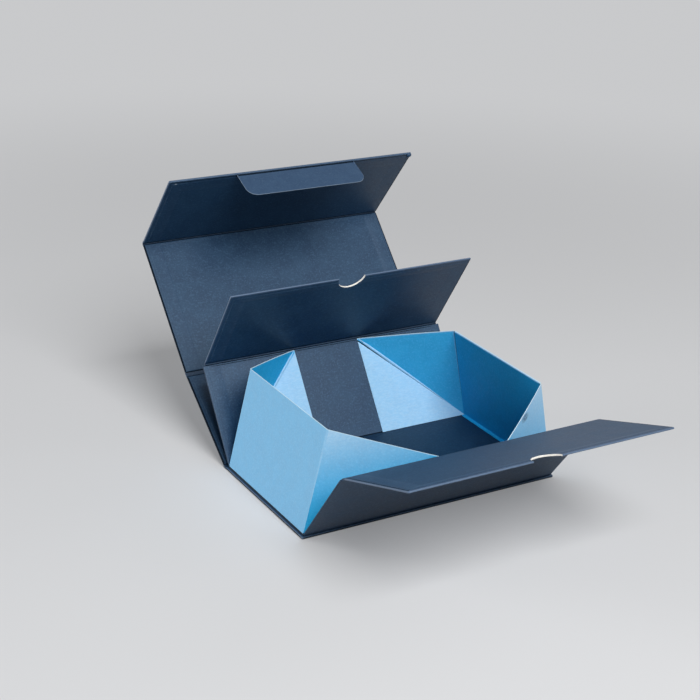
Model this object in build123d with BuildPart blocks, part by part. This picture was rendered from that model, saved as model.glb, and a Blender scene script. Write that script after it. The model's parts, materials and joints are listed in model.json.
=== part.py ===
from build123d import *
from math import asin, atan2, cos, degrees, hypot, radians, sin, tan
import os

# Collapsible rigid gift box, standing open.
# A case of four wrapped boards folds round a tray whose walls lean out and whose end sheets lean in.
# X runs along the box, -Y is the front where the case closes, +Z is up.
# The origin is on the floor, under the middle of the tray.

# Driving dimensions in millimetres, angles in degrees
tray_length = 225.0  # base board and walls, along the box
tray_depth = 122.0  # between the two wall folds, at the top of the base board
wall_height = 82.5  # wall board, from its fold at the base to its top edge
wall_lean = 36.0  # walls, outward from upright
tray_board = 1.6  # wrapped board of the tray
case_board = 2.0  # wrapped board of the case
fold_paper = 0.4  # covering paper that carries a fold
fold_clearance = 0.4  # paper edge to fold line
tray_fold_gap = 4.5  # board to board across a tray fold
case_fold_gap = 5.0  # board to board across a case fold

end_card = 0.6  # card of the two end sheets
glue_margin = 3.0  # strip of an end sheet that is glued on the base
margin_setback = 1.0  # ends of that strip, from the wall folds

inner_flap_reach = 87.0  # fold line to free edge
inner_back_setback = 2.0  # ends of the back flap, from the ends of the tray
inner_front_setback = 1.0  # ends of the front flap, from the ends of the tray
thumb_notch_radius = 12.0
back_notch_offset = -3.5  # back flap's notch, along the box from the flap's middle
inner_corner_radius = 0.8

case_length = 228.5
case_front_overhang = 2.0  # bottom board, in front of the front wall's fold
spine_fold_offset = 5.0  # spine fold, behind the back wall's fold
spine_reach = 89.0  # fold to fold
lid_reach = 123.0  # fold to fold
front_flap_reach = 89.0  # fold line to free edge
case_corner_radius = 1.2

tongue_length = 110.0  # along the box
tongue_reach = 27.5  # fold line to free edge
tongue_card = 0.6
tongue_corner_radius = 9.0
tongue_clearance = 0.5  # tongue's root to its fold line
slot_height = 0.9  # under the base board, for the tongue
slot_clearance = 2.0  # round the tongue in its slot

# Directions of the panels as they stand, from +Y towards +Z
upright = 90.0
spine_angle = 35.0
lid_angle = 45.0
front_flap_angle = 128.5
tongue_angle = 204.5
inner_back_angle = 122.0
inner_front_angle = 161.0

# Sizes that follow
half_length = tray_length / 2
half_depth = tray_depth / 2
base_top = case_board + tray_board
back_wall_angle = upright - wall_lean
front_wall_angle = upright + wall_lean
paper_half = fold_paper / 2
BACK = 1  # panels behind the tray, inner face to the left of their direction
FRONT = -1  # panels before the tray, inner face to the right

# Gusset folds rise at 45 degrees, so the end sheets lean in as the walls lean out
gusset_width = wall_height
wall_rise = wall_height * cos(radians(wall_lean))
wall_run = wall_height * sin(radians(wall_lean))
end_lean = asin(wall_height / hypot(gusset_width, wall_rise)) - atan2(wall_rise, gusset_width)
tray_middle = Vector(0, 0, base_top + wall_rise)


def along(angle):
    """Unit vector across the box, turned from +Y towards +Z."""
    return Vector(0, cos(radians(angle)), sin(radians(angle)))


def inward(angle, side):
    """Unit vector out of the inner face of a panel that runs at this angle."""
    return along(angle + side * upright)


def panel_plane(fold, angle, side):
    """Plane across a panel: x from its fold to its far edge, y to its inner face."""
    return Plane(fold, x_dir=along(angle), z_dir=(side, 0, 0))


def panel_outline(reach, board, near_gap, far_gap):
    """Section of a wrapped board; a gap ends it in the paper that runs on to a fold line."""
    outer = -paper_half
    inner = board - paper_half
    if near_gap:
        near = [
            (near_gap / 2, inner),
            (near_gap / 2, paper_half),
            (fold_clearance, paper_half),
            (fold_clearance, outer),
        ]
    else:
        near = [(0, inner), (0, outer)]
    if far_gap:
        far = [
            (reach - fold_clearance, outer),
            (reach - fold_clearance, paper_half),
            (reach - far_gap / 2, paper_half),
            (reach - far_gap / 2, inner),
        ]
    else:
        far = [(reach, outer), (reach, inner)]
    return near + far


def add_panel(plane, length, reach, board, near_gap, far_gap):
    """Add a wrapped board to the part that is being built."""
    with BuildSketch(plane) as section:
        with BuildLine():
            Polyline(*panel_outline(reach, board, near_gap, far_gap), close=True)
        make_face()
    extrude(section.sketch, amount=length / 2, both=True)


def free_corners(panel, plane):
    """The two corner edges at the free end of a panel."""
    across = panel.edges().filter_by(Axis(plane.origin, plane.y_dir))
    return across.sort_by(Axis(plane.origin, plane.x_dir))[-2:]


def add_thumb_notch(plane, reach, board, offset):
    """Cut a half round notch in a panel's free edge, at an offset from its middle."""
    notch_middle = plane.from_local_coords(Vector(reach, 0)) + Vector(offset, 0, 0)
    with BuildSketch(Plane(notch_middle, x_dir=(1, 0, 0), z_dir=plane.y_dir)) as notch:
        Circle(thumb_notch_radius)
    extrude(notch.sketch, amount=board, both=True, mode=Mode.SUBTRACT)


def add_card_field(*corners):
    """Add one flat field of an end sheet, on the tray's side of its corners."""
    normal = (corners[1] - corners[0]).cross(corners[2] - corners[0])
    if normal.dot(tray_middle - corners[0]) < 0:
        normal = -normal
    plane = Plane(corners[0], x_dir=corners[1] - corners[0], z_dir=normal)
    with BuildSketch(plane) as field:
        with BuildLine():
            Polyline(*[plane.to_local_coords(corner) for corner in corners], close=True)
        make_face()
    extrude(field.sketch, amount=end_card)


def wall_plane(angle, side):
    """Plane of a tray wall, from the fold at the base, in the middle of its outer paper."""
    fold = Vector(0, side * half_depth, base_top)
    return panel_plane(fold - inward(angle, side) * (tray_board - paper_half), angle, side)


# Planes of the panels, each from the fold that carries it
bottom_front = Vector(0, -half_depth - case_front_overhang, paper_half)
bottom_plane = panel_plane(bottom_front, 0, BACK)
bottom_reach = tray_depth + case_front_overhang + spine_fold_offset
spine_fold = bottom_front + along(0) * bottom_reach
spine_plane = panel_plane(spine_fold, spine_angle, BACK)
lid_fold = spine_fold + along(spine_angle) * spine_reach
lid_plane = panel_plane(lid_fold, lid_angle, BACK)
front_flap_fold = lid_fold + along(lid_angle) * lid_reach
front_flap_plane = panel_plane(front_flap_fold, front_flap_angle, BACK)
tongue_run = front_flap_reach + tongue_card / 2
tongue_rise = case_board - paper_half - tongue_card / 2
tongue_fold = front_flap_plane.from_local_coords(Vector(tongue_run, tongue_rise))
tongue_plane = Plane(tongue_fold, x_dir=(1, 0, 0), z_dir=inward(tongue_angle, BACK))

wall_reach = wall_height + tray_fold_gap / 2
back_wall_plane = wall_plane(back_wall_angle, BACK)
front_wall_plane = wall_plane(front_wall_angle, FRONT)
inner_back_fold = back_wall_plane.from_local_coords(Vector(wall_reach, 0))
inner_back_plane = panel_plane(inner_back_fold, inner_back_angle, BACK)
inner_front_fold = front_wall_plane.from_local_coords(Vector(wall_reach, 0))
inner_front_plane = panel_plane(inner_front_fold, inner_front_angle, FRONT)

os.makedirs("parts", exist_ok=True)

# Outer case, from the bottom board round to the tongue
with BuildPart() as case_bottom:
    add_panel(bottom_plane, case_length, bottom_reach, case_board, 0, case_fold_gap)
case_bottom.part.label = "case_bottom"
export_step(case_bottom.part, "parts/case_bottom.step")

with BuildPart() as case_spine:
    add_panel(spine_plane, case_length, spine_reach, case_board, case_fold_gap, case_fold_gap)
case_spine.part.label = "case_spine"
export_step(case_spine.part, "parts/case_spine.step")

with BuildPart() as case_lid:
    add_panel(lid_plane, case_length, lid_reach, case_board, case_fold_gap, case_fold_gap)
case_lid.part.label = "case_lid"
export_step(case_lid.part, "parts/case_lid.step")

with BuildPart() as case_front_flap:
    add_panel(front_flap_plane, case_length, front_flap_reach, case_board, case_fold_gap, 0)
    fillet(free_corners(case_front_flap, front_flap_plane), case_corner_radius)
case_front_flap.part.label = "case_front_flap"
export_step(case_front_flap.part, "parts/case_front_flap.step")

with BuildPart() as tuck_tongue:
    with BuildSketch(tongue_plane):
        with Locations((0, tongue_clearance)):
            Rectangle(
                tongue_length,
                tongue_reach - tongue_clearance,
                align=(Align.CENTER, Align.MIN),
            )
        fillet(vertices().group_by(Axis.Y)[-1], tongue_corner_radius)
    extrude(amount=tongue_card / 2, both=True)
tuck_tongue.part.label = "tuck_tongue"
export_step(tuck_tongue.part, "parts/tuck_tongue.step")

# Tray, from its base board up to the inner flaps
with BuildPart() as tray_base:
    with BuildSketch(Plane.XY.offset(case_board)):
        Rectangle(tray_length, tray_depth)
    extrude(amount=tray_board)
    with BuildSketch(Plane.XY.offset(case_board)):
        with Locations((0, -half_depth)):
            Rectangle(
                tongue_length + 2 * slot_clearance,
                tongue_reach + slot_clearance,
                align=(Align.CENTER, Align.MIN),
            )
    extrude(amount=slot_height, mode=Mode.SUBTRACT)
tray_base.part.label = "tray_base"
export_step(tray_base.part, "parts/tray_base.step")

with BuildPart() as back_wall:
    add_panel(back_wall_plane, tray_length, wall_reach, tray_board, 0, tray_fold_gap)
back_wall.part.label = "back_wall"
export_step(back_wall.part, "parts/back_wall.step")

with BuildPart() as front_wall:
    add_panel(front_wall_plane, tray_length, wall_reach, tray_board, 0, tray_fold_gap)
front_wall.part.label = "front_wall"
export_step(front_wall.part, "parts/front_wall.step")

with BuildPart() as inner_back_flap:
    back_flap_length = tray_length - 2 * inner_back_setback
    add_panel(inner_back_plane, back_flap_length, inner_flap_reach, tray_board, tray_fold_gap, 0)
    fillet(free_corners(inner_back_flap, inner_back_plane), inner_corner_radius)
    add_thumb_notch(inner_back_plane, inner_flap_reach, tray_board, back_notch_offset)
inner_back_flap.part.label = "inner_back_flap"
export_step(inner_back_flap.part, "parts/inner_back_flap.step")

with BuildPart() as inner_front_flap:
    front_flap_length = tray_length - 2 * inner_front_setback
    add_panel(inner_front_plane, front_flap_length, inner_flap_reach, tray_board, tray_fold_gap, 0)
    fillet(free_corners(inner_front_flap, inner_front_plane), inner_corner_radius)
    add_thumb_notch(inner_front_plane, inner_flap_reach, tray_board, 0)
inner_front_flap.part.label = "inner_front_flap"
export_step(inner_front_flap.part, "parts/inner_front_flap.step")

# End sheets, each folded from one piece of card
for end, sheet_name in ((-1, "left_end_sheet"), (1, "right_end_sheet")):
    lean_in = Vector(-end * sin(end_lean), 0, cos(end_lean))
    foot_lift = lean_in * (end_card * tan(end_lean))
    corners = {}
    for side in (BACK, FRONT):
        corner = Vector(end * half_length, side * half_depth, base_top)
        corners[side] = {
            "corner": corner,
            "foot": corner + foot_lift,
            "top": corner + lean_in * wall_height,
            "wall_foot": corner - Vector(end * gusset_width, 0, 0),
            "wall_top": corner + Vector(-end * gusset_width, side * wall_run, wall_rise),
        }
    back = corners[BACK]
    front = corners[FRONT]
    margin_back = back["corner"] - Vector(0, margin_setback, 0)
    margin_front = front["corner"] + Vector(0, margin_setback, 0)
    margin_width = Vector(end * glue_margin, 0, 0)

    with BuildPart() as end_sheet:
        add_card_field(back["foot"], front["foot"], front["top"], back["top"])
        for field in (back, front):
            add_card_field(field["corner"], field["top"], field["wall_top"])
            add_card_field(field["corner"], field["wall_top"], field["wall_foot"])
        add_card_field(margin_back, margin_front, margin_front - margin_width, margin_back - margin_width)
    end_sheet.part.label = sheet_name
    export_step(end_sheet.part, f"parts/{sheet_name}.step")
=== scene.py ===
import json
import logging
import math
from dataclasses import dataclass, field, replace
from enum import Enum

import bmesh
import bpy
import numpy as np
from mathutils import Matrix, Vector


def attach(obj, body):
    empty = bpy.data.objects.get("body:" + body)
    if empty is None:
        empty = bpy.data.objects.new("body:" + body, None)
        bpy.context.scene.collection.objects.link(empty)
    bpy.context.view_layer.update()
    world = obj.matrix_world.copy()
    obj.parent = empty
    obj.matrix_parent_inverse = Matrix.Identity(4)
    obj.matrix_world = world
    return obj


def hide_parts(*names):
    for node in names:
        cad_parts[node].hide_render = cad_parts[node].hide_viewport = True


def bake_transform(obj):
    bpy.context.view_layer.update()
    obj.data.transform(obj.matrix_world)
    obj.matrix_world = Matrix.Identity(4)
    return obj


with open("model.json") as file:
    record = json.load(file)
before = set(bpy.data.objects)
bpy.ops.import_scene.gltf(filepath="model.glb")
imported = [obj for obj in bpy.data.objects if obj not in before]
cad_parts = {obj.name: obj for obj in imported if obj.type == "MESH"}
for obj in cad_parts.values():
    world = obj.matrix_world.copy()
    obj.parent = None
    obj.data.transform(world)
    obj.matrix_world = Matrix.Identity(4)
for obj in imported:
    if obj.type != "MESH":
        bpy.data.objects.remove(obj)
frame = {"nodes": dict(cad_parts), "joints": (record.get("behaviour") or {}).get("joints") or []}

log = logging.getLogger("gift_box")

MM = 0.001
MERGE = 1e-7
# Places of a Mix node's factor and colours, whose names belong to other sockets too
MIX_INPUTS = (0, 6, 7)
MIX_RESULT = 2

Pair = tuple[float, float]
Triple = tuple[float, float, float]
Socket = bpy.types.NodeSocket
Tree = bpy.types.NodeTree
Material = bpy.types.Material
Piece = bpy.types.Object


class Side(Enum):
    """Which way a panel's inner face looks, seen along its direction."""

    BACK = 1
    FRONT = -1


class End(Enum):
    """The two ends of the box, along X."""

    LEFT = -1
    RIGHT = 1


class Edge(Enum):
    """How an edge of a wrapped board is finished."""

    WRAPPED = "cover turned over the board"
    HINGED = "lining runs down into a fold"
    CUT = "raw board"


class Lane(Enum):
    """The four edges of a board, seen from its inner face with its fold below."""

    NEAR = "near"
    RIGHT = "right"
    FAR = "far"
    LEFT = "left"


@dataclass(frozen=True)
class BoxSizes:
    """Driving sizes of the box in millimetres and degrees, as in the CAD model."""

    tray_length: float = 225.0
    tray_depth: float = 122.0
    wall_height: float = 82.5
    wall_lean: float = 36.0
    tray_board: float = 1.6
    case_board: float = 2.0
    fold_paper: float = 0.4
    tray_fold_gap: float = 4.5
    case_fold_gap: float = 5.0
    case_length: float = 228.5
    case_front_overhang: float = 2.0
    spine_fold_offset: float = 5.0
    spine_reach: float = 89.0
    lid_reach: float = 123.0
    front_flap_reach: float = 89.0
    inner_flap_reach: float = 87.0
    inner_back_setback: float = 2.0
    inner_front_setback: float = 1.0
    thumb_notch_radius: float = 12.0
    back_notch_offset: float = -3.5
    tongue_length: float = 110.0
    tongue_reach: float = 27.5
    tongue_card: float = 0.6
    end_card: float = 0.6
    glue_margin: float = 3.0
    spine_angle: float = 35.0
    lid_angle: float = 45.0
    front_flap_angle: float = 128.5
    tongue_angle: float = 204.5
    inner_back_angle: float = 122.0
    inner_front_angle: float = 161.0

    @property
    def base_top(self) -> float:
        """Height of the tray's floor."""
        return self.case_board + self.tray_board

    @property
    def wall_reach(self) -> float:
        """Wall, from its foot to the fold line at its top."""
        return self.wall_height + self.tray_fold_gap / 2

    @property
    def bottom_reach(self) -> float:
        """Bottom board, from its front edge to the spine fold."""
        return self.tray_depth + self.case_front_overhang + self.spine_fold_offset

    @property
    def inner_back_length(self) -> float:
        """Length of the inner back flap."""
        return self.tray_length - 2 * self.inner_back_setback

    @property
    def inner_front_length(self) -> float:
        """Length of the inner front flap."""
        return self.tray_length - 2 * self.inner_front_setback


@dataclass(frozen=True)
class PanelPlace:
    """Place of a panel: the fold it starts from, its direction and its inner side.

    fold is (y, z) in millimetres, angle is in degrees from +Y towards +Z.
    """

    fold: Pair
    angle: float
    side: Side

    @property
    def run(self) -> np.ndarray:
        """Unit vector from the fold to the far edge."""
        turn = math.radians(self.angle)
        return np.array((0.0, math.cos(turn), math.sin(turn)))

    @property
    def inner(self) -> np.ndarray:
        """Unit vector out of the inner face."""
        turn = math.radians(self.angle + 90.0 * self.side.value)
        return np.array((0.0, math.cos(turn), math.sin(turn)))

    def points(self, x: np.ndarray, u: np.ndarray, n: np.ndarray | float) -> np.ndarray:
        """Points of the panel in metres.

        Args:
            x: Places along the box.
            u: Distances from the fold.
            n: Heights over the middle of the outer paper, or one for all.

        Returns:
            One row of coordinates for each place.
        """
        x, u, n = np.broadcast_arrays(x, u, n)
        start = np.array((0.0, *self.fold))
        across = np.outer(u, self.run) + np.outer(n, self.inner)
        return (start + across + np.outer(x, (1.0, 0.0, 0.0))) * MM


def put_in_scene(name: str, data: bpy.types.ID) -> Piece:
    """Make an object and link it to the scene.

    Args:
        name: Its name.
        data: Its mesh, lamp or camera.

    Returns:
        The object, at the origin.
    """
    piece = bpy.data.objects.new(name, data)
    bpy.context.scene.collection.objects.link(piece)
    return piece


class MeshDraft:
    """Rings of points and the faces between them, made into one mesh at the end."""

    def __init__(self) -> None:
        """Start with no points."""
        self.points: list[np.ndarray] = []
        self.rub: list[float] = []
        self.faces: list[tuple[int, ...]] = []
        self.slots: list[int] = []

    def ring(self, points: np.ndarray, rub: np.ndarray | float = 0.0) -> list[int]:
        """Add points.

        Args:
            points: Coordinates in metres, one row each.
            rub: Lightening there by scuffing and painted sheen, from 0 to 1, once or for each point.

        Returns:
            The numbers of the points.
        """
        first = len(self.points)
        self.points.extend(points)
        self.rub.extend(np.broadcast_to(rub, len(points)).tolist())
        return list(range(first, len(self.points)))

    def face(self, corners: list[int], slot: int) -> None:
        """Add a face."""
        self.faces.append(tuple(corners))
        self.slots.append(slot)

    def bridge(self, a: list[int], b: list[int], slots: list[int] | int, closed: bool = True) -> None:
        """Join two rings by quads.

        Args:
            a: First ring.
            b: Second ring, with as many points.
            slots: Material slot of all the quads, or one for each.
            closed: Whether the last point joins the first.
        """
        for k in range(len(a) if closed else len(a) - 1):
            after = (k + 1) % len(a)
            self.face([a[k], a[after], b[after], b[k]], slots if isinstance(slots, int) else slots[k])

    def loft(
        self, rings: list[list[int]], slots: list[list[int] | int], ends: tuple[int, int] = (0, 0)
    ) -> None:
        """Join rings into a closed body.

        Args:
            rings: The rings in order.
            slots: Material slots of each bridge between two rings.
            ends: Material slots of the two end faces.
        """
        for a, b, painted in zip(rings, rings[1:], slots):
            self.bridge(a, b, painted)
        self.face(rings[0], ends[0])
        self.face(rings[-1], ends[1])

    def make(self, name: str, materials: list[Material], sharp: float = 40.0) -> Piece:
        """Make the mesh, with doubles merged, faces turned out and smooth shading.

        Args:
            name: Name of the piece.
            materials: Its material slots.
            sharp: Angle in degrees from which an edge stays sharp.

        Returns:
            The piece.
        """
        mesh = bpy.data.meshes.new(name)
        mesh.from_pydata([tuple(p) for p in self.points], [], self.faces)
        for material in materials:
            mesh.materials.append(material)
        mesh.polygons.foreach_set("material_index", self.slots)
        # Lightening of each point: real scuffing mixed with painted highlights and painted sheen.
        mesh.attributes.new("rub", "FLOAT", "POINT").data.foreach_set("value", self.rub)
        shape = bmesh.new()
        shape.from_mesh(mesh)
        bmesh.ops.remove_doubles(shape, verts=shape.verts, dist=MERGE)
        bmesh.ops.dissolve_degenerate(shape, edges=shape.edges, dist=MERGE)
        bmesh.ops.recalc_face_normals(shape, faces=shape.faces)
        shape.to_mesh(mesh)
        shape.free()
        mesh.shade_smooth()
        mesh.set_sharp_from_angle(angle=math.radians(sharp))
        return put_in_scene(name, mesh)


def feed(tree: Tree, target: Socket, value: object) -> None:
    """Link a socket to an input, or set the input to a constant.

    Args:
        tree: The nodes that the input belongs to.
        target: The input.
        value: A socket or a constant.
    """
    if isinstance(value, Socket):
        tree.links.new(value, target)
    else:
        target.default_value = value


def add_node(tree: Tree, kind: str, inputs: dict[str | int, object], **settings: object) -> bpy.types.Node:
    """Add a node.

    Args:
        tree: The nodes that it joins.
        kind: Its type.
        inputs: A socket or a constant for each input, by its name or its place.
        **settings: Its own properties.

    Returns:
        The node.
    """
    node = tree.nodes.new(kind)
    for name, value in settings.items():
        setattr(node, name, value)
    for key, value in inputs.items():
        feed(tree, node.inputs[key], value)
    return node


class NodeSheet:
    """A material's node tree with short calls to add and link nodes."""

    def __init__(self, name: str) -> None:
        """Start a material with a Principled shader and Object coordinates.

        Args:
            name: Name of the material.
        """
        self.material = bpy.data.materials.new(name)
        self.material.use_nodes = True
        self.tree = self.material.node_tree
        self.shader = self.tree.nodes["Principled BSDF"]
        self.place = self.tree.nodes.new("ShaderNodeTexCoord").outputs["Object"]

    def scaled(self, scale: Triple) -> Socket:
        """Object coordinates, scaled along each axis."""
        inputs = {"Vector": self.place, "Scale": scale}
        return add_node(self.tree, "ShaderNodeMapping", inputs).outputs["Vector"]

    def noise(
        self, scale: float, detail: float, roughness: float = 0.55, stretch: Triple = (1, 1, 1)
    ) -> Socket:
        """Add a noise pattern on Object coordinates.

        Args:
            scale: Patches for each metre.
            detail: Octaves.
            roughness: Share of the finer octaves.
            stretch: Scale along each axis.

        Returns:
            The pattern's value.
        """
        place = self.scaled(stretch)
        inputs = {"Vector": place, "Scale": scale, "Detail": detail, "Roughness": roughness}
        return add_node(self.tree, "ShaderNodeTexNoise", inputs).outputs["Fac"]

    def spread(
        self, value: Socket, low: float, high: float, to_low: float = 0.0, to_high: float = 1.0
    ) -> Socket:
        """Map a value smoothly from one range to another, clamped.

        Args:
            value: The value.
            low: Start of its range.
            high: End of its range.
            to_low: Start of the new range.
            to_high: End of the new range.

        Returns:
            The mapped value.
        """
        inputs = {"Value": value, "From Min": low, "From Max": high, "To Min": to_low, "To Max": to_high}
        node = add_node(self.tree, "ShaderNodeMapRange", inputs, interpolation_type="SMOOTHSTEP")
        return node.outputs["Result"]

    def mix(self, share: Socket, first: Triple | Socket, second: Triple | Socket) -> Socket:
        """Mix two colours.

        Args:
            share: How much of the second colour.
            first: A colour or a socket.
            second: A colour or a socket.

        Returns:
            The mixed colour.
        """
        colours = ((*c, 1.0) if isinstance(c, tuple) else c for c in (first, second))
        inputs = dict(zip(MIX_INPUTS, (share, *colours)))
        return add_node(self.tree, "ShaderNodeMix", inputs, data_type="RGBA").outputs[MIX_RESULT]

    def maths(self, kind: str, a: Socket | float, b: Socket | float) -> Socket:
        """Work out one operation on two numbers."""
        return add_node(self.tree, "ShaderNodeMath", {0: a, 1: b}, operation=kind).outputs["Value"]

    def attribute(self, name: str) -> Socket:
        """Read a mesh attribute as a number."""
        return add_node(self.tree, "ShaderNodeAttribute", {}, attribute_name=name).outputs["Fac"]

    def height(self) -> Socket:
        """Height over the floor in metres."""
        return add_node(self.tree, "ShaderNodeSeparateXYZ", {"Vector": self.place}).outputs["Z"]

    def distance(self, centre: Triple, squeeze: Triple = (1, 1, 1)) -> Socket:
        """Distance from a point in metres, scaled along each axis."""
        inputs = {0: self.scaled(squeeze), 1: [c * k for c, k in zip(centre, squeeze)]}
        return add_node(self.tree, "ShaderNodeVectorMath", inputs, operation="DISTANCE").outputs["Value"]

    def bump(self, height: Socket, strength: float, distance: float) -> None:
        """Raise the surface by a pattern of this height in metres."""
        inputs = {"Height": height, "Strength": strength, "Distance": distance}
        self.shade(Normal=add_node(self.tree, "ShaderNodeBump", inputs).outputs["Normal"])

    def shade(self, **values: object) -> None:
        """Feed the shader's own sockets, with _ for a space in their names."""
        for name, value in values.items():
            feed(self.tree, self.shader.inputs[name.replace("_", " ")], value)


@dataclass(frozen=True)
class Mark:
    """A small scuffed or smudged place on a sheet, as a soft patchy spot in millimetres."""

    centre: Triple
    radius: float
    soft: float
    colour: Triple
    strength: float
    squeeze: Triple
    patch_scale: float = 700.0
    patch_detail: float = 2.0
    patch_band: Pair = (0.35, 0.6)
    patch_least: float = 0.3

    def paint(self, sheet: NodeSheet, colour: Socket) -> Socket:
        """Lay the mark over a colour.

        Args:
            sheet: The material's nodes.
            colour: The colour below.

        Returns:
            The colour with the mark.
        """
        reach = sheet.distance(tuple(c * MM for c in self.centre), self.squeeze)
        low, high = (self.radius - self.soft / 2) * MM, (self.radius + self.soft / 2) * MM
        mask = sheet.spread(reach, low, high, 1.0, 0.0)
        pattern = sheet.noise(self.patch_scale, self.patch_detail)
        patchy = sheet.spread(pattern, *self.patch_band, self.patch_least)
        share = sheet.maths("MULTIPLY", sheet.maths("MULTIPLY", mask, patchy), self.strength)
        return sheet.mix(share, colour, self.colour)


@dataclass(frozen=True)
class PaperFinish:
    """Matte paper or card: a colour with soft cloudy patches, fine grain, and scuffing mixed with painted
    sheen.

    A noise has its octaves and the share of the finer ones. A band is the part of a noise's range over
    which its pattern comes in.
    """

    name: str
    colour: Triple
    cloud: Triple
    grain: Triple
    # Colour that scuffed places, painted edge highlights and painted sheen on lit faces are mixed towards.
    wear_and_sheen_colour: Triple
    roughness: float
    specular: float
    tint: Triple = (1.0, 1.0, 1.0)
    cloud_scale: float = 110.0
    cloud_noise: Pair = (5.0, 0.65)
    cloud_band: Pair = (0.4, 0.62)
    grain_scale: float = 700.0
    grain_noise: Pair = (2.0, 0.6)
    grain_band: Pair = (0.42, 0.66)
    fibre_scale: float = 260.0
    fibre_noise: Pair = (3.0, 0.65)
    fibre_stretch: Triple = (1.0, 3.0, 3.0)
    fibre_band: Pair = (0.4, 0.62)
    fibre_least: float = 0.25
    wear_and_sheen_band: Pair = (0.35, 0.65)
    wear_and_sheen_least: float = 0.85
    gloss_play: float = 0.015
    bump_height: float = 0.00009
    bump_strength: float = 0.5
    fibre_height: float = 0.8
    marks: tuple[Mark, ...] = ()
    slot_shadow_height: float = 0.0
    slot_shadow_soft: float = 0.00015
    slot_shadow_colour: Triple = (0.001, 0.004, 0.01)

    def material(self) -> Material:
        """Build the node material.

        Returns:
            The material.
        """
        sheet = NodeSheet(self.name)
        cloud = sheet.spread(sheet.noise(self.cloud_scale, *self.cloud_noise), *self.cloud_band)
        grain = sheet.noise(self.grain_scale, *self.grain_noise)
        fibre = sheet.noise(self.fibre_scale, *self.fibre_noise, self.fibre_stretch)
        fibrous = sheet.spread(fibre, *self.fibre_band, self.fibre_least)
        flecks = sheet.maths("MULTIPLY", sheet.spread(grain, *self.grain_band), fibrous)
        patchy = sheet.spread(fibre, *self.wear_and_sheen_band, self.wear_and_sheen_least)
        # Lightening from the mesh: real scuffing mixed with painted highlights and painted sheen.
        worn_and_lit = sheet.maths("MULTIPLY", sheet.attribute("rub"), patchy)
        colour = sheet.mix(cloud, self.colour, self.cloud)
        colour = sheet.mix(flecks, colour, self.grain)
        colour = sheet.mix(worn_and_lit, colour, self.wear_and_sheen_colour)
        for mark in self.marks:
            colour = mark.paint(sheet, colour)
        # Painted shadow: a near-black band below this height stands for the shaded gap under the tray base.
        if self.slot_shadow_height:
            low, high = self.slot_shadow_height - self.slot_shadow_soft, self.slot_shadow_height + self.slot_shadow_soft
            slot = sheet.spread(sheet.height(), low, high, 1.0, 0.0)
            colour = sheet.mix(slot, colour, self.slot_shadow_colour)
        smooth, dull = self.roughness - self.gloss_play, self.roughness + self.gloss_play
        gloss = sheet.spread(cloud, 0.0, 1.0, smooth, dull)
        sheet.shade(Base_Color=colour, Roughness=gloss)
        sheet.shade(Specular_IOR_Level=self.specular, Specular_Tint=(*self.tint, 1.0))
        height = sheet.maths("ADD", grain, sheet.maths("MULTIPLY", fibre, self.fibre_height))
        sheet.bump(height, self.bump_strength, self.bump_height)
        return sheet.material


@dataclass(frozen=True)
class RawBoardFinish:
    """Cut edge of a pale board, with its pressed layers."""

    name: str
    pale: Triple
    layer: Triple
    layer_scale: float = 1500.0
    layer_noise: Pair = (2.0, 0.6)
    layer_stretch: Triple = (0.15, 1.0, 1.0)
    layer_band: Pair = (0.4, 0.68)
    layer_most: float = 0.7
    roughness: Pair = (0.85, 0.95)
    specular: float = 0.2
    bump_strength: float = 0.4
    bump_height: float = 0.00008

    def material(self) -> Material:
        """Build the node material.

        Returns:
            The material.
        """
        sheet = NodeSheet(self.name)
        pattern = sheet.noise(self.layer_scale, *self.layer_noise, self.layer_stretch)
        layers = sheet.spread(pattern, *self.layer_band, 0.0, self.layer_most)
        gloss = sheet.spread(layers, 0.0, 1.0, *self.roughness)
        sheet.shade(Base_Color=sheet.mix(layers, self.pale, self.layer), Roughness=gloss)
        sheet.shade(Specular_IOR_Level=self.specular)
        sheet.bump(layers, self.bump_strength, self.bump_height)
        return sheet.material


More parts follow.
